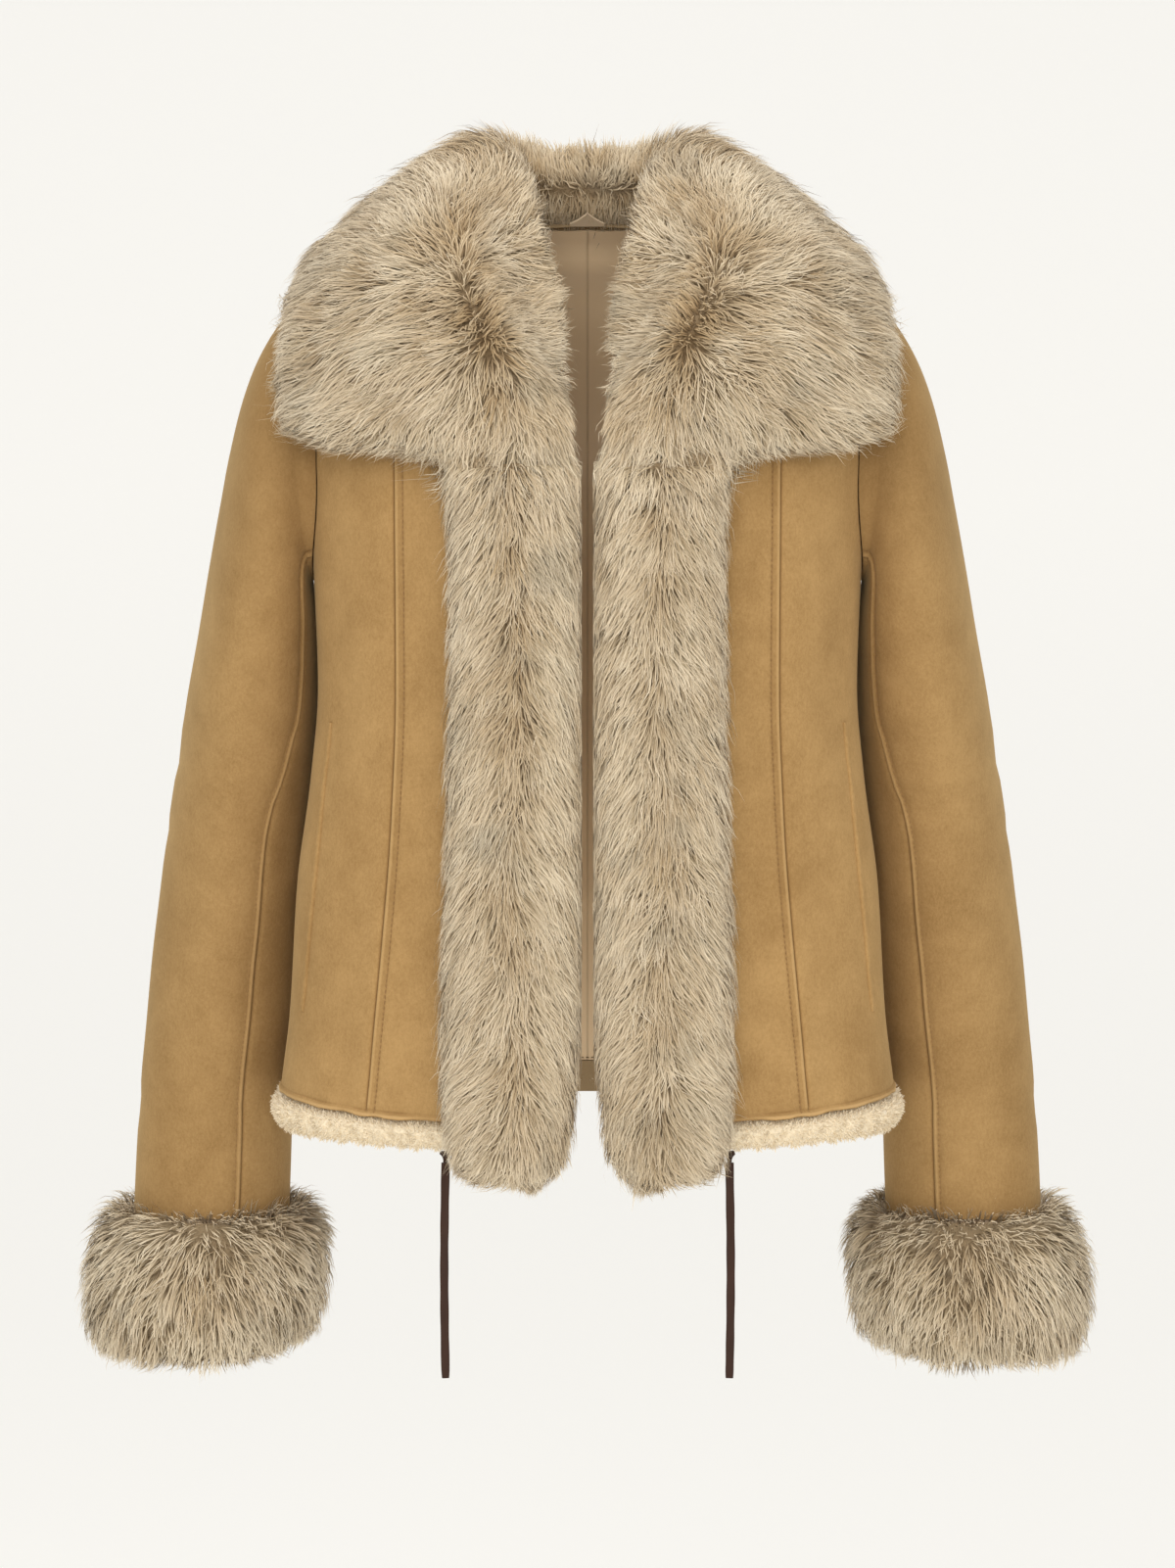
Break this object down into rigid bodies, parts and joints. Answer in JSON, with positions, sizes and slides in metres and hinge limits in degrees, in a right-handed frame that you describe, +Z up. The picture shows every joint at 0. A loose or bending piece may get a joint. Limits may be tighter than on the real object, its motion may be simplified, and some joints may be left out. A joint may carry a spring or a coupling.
{
  "type": "shearling coat",
  "caption": "Short open-front suede shearling coat with a deep fur collar, fur front bands, fur cuffs, a shearling hem and leather ties, worn shape.",
  "frame": {"origin": "middle of the neck, at the height where the shoulder seams start", "axes": "+X to the wearer's left, +Y towards the back, +Z up"},
  "size_m": [0.6382, 0.2848, 0.777],
  "materials": {
    "suede": "tan suede with a short matt nap",
    "fox_fur": "long beige fur, lighter at the tips",
    "shearling": "cream curly shearling",
    "satin_lining": "taupe satin",
    "leather_tie": "dark brown leather thong"
  },
  "bodies": {
    "root": {"front_panel_L": "suede", "front_panel_R": "suede", "side_front_L": "suede", "side_front_R": "suede", "back_panel_L": "suede", "back_panel_R": "suede", "top_sleeve_L": "suede", "top_sleeve_R": "suede", "under_sleeve_L": "suede", "under_sleeve_R": "suede", "pocket_welt_L": "suede", "pocket_welt_R": "suede", "hanger_tab": "suede", "fur_band_L": "fox_fur", "fur_band_R": "fox_fur", "fur_collar_L": "fox_fur", "fur_collar_R": "fox_fur", "fur_collar_back": "fox_fur", "fur_cuff_L": "fox_fur", "fur_cuff_R": "fox_fur", "hem_shearling_front_L": "shearling", "hem_shearling_front_R": "shearling", "hem_shearling_back": "shearling", "back_lining_L": "satin_lining", "back_lining_R": "satin_lining", "hem_facing": "satin_lining", "tie_knot_L": "leather_tie", "tie_knot_R": "leather_tie", "leather_tie_L": "leather_tie", "leather_tie_R": "leather_tie"}
  },
  "joints": []
}
